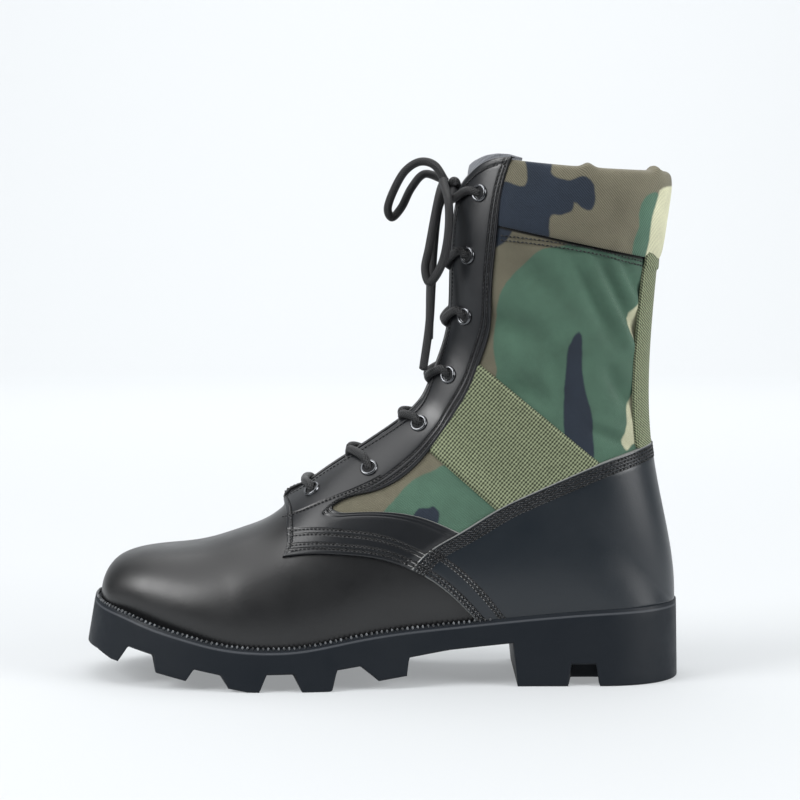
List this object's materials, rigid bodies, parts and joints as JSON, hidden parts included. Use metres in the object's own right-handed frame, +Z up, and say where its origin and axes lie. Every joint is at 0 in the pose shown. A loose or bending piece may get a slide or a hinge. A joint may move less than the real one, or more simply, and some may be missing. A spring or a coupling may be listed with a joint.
{
  "type": "canvas hiking boot",
  "caption": "Lace-up left hiking boot with black leather vamp and heel, camouflage canvas shaft, olive webbing strap and lugged rubber sole.",
  "frame": {"origin": "middle of the sole's outline on the floor it stands on", "axes": "+Z up, toe towards -X and heel towards +X, the outer side of the foot towards -Y"},
  "size_m": [0.304, 0.1104, 0.2681],
  "materials": {
    "sole_rubber": "matte",
    "insole_board": "matte",
    "canvas_and_vamp": "matte",
    "tongue_cloth": "matte",
    "black_leather": "satin",
    "olive_webbing": "matte",
    "cuff_canvas": "matte",
    "gunmetal": "satin",
    "lace_cord": "matte"
  },
  "bodies": {
    "root": {"outsole": "sole_rubber", "insole": "insole_board", "upper": "canvas_and_vamp", "tongue": "tongue_cloth", "quarter_outer": "black_leather", "quarter_inner": "black_leather", "counter": "black_leather", "strap_outer": "olive_webbing", "strap_inner": "olive_webbing", "backstay": "olive_webbing", "cuff": "cuff_canvas", "lace_crossings": "lace_cord", "eyelet_outer_1": "gunmetal", "eyelet_outer_2": "gunmetal", "eyelet_outer_3": "gunmetal", "eyelet_outer_4": "gunmetal", "eyelet_outer_5": "gunmetal", "eyelet_outer_6": "gunmetal", "eyelet_outer_7": "gunmetal", "eyelet_inner_1": "gunmetal", "eyelet_inner_2": "gunmetal", "eyelet_inner_3": "gunmetal", "eyelet_inner_4": "gunmetal", "eyelet_inner_5": "gunmetal", "eyelet_inner_6": "gunmetal", "eyelet_inner_7": "gunmetal", "lace_knot": "lace_cord", "lace_loop_outer": "lace_cord", "lace_loop_inner": "lace_cord", "lace_end_outer": "lace_cord", "lace_end_inner": "lace_cord"}
  },
  "joints": []
}
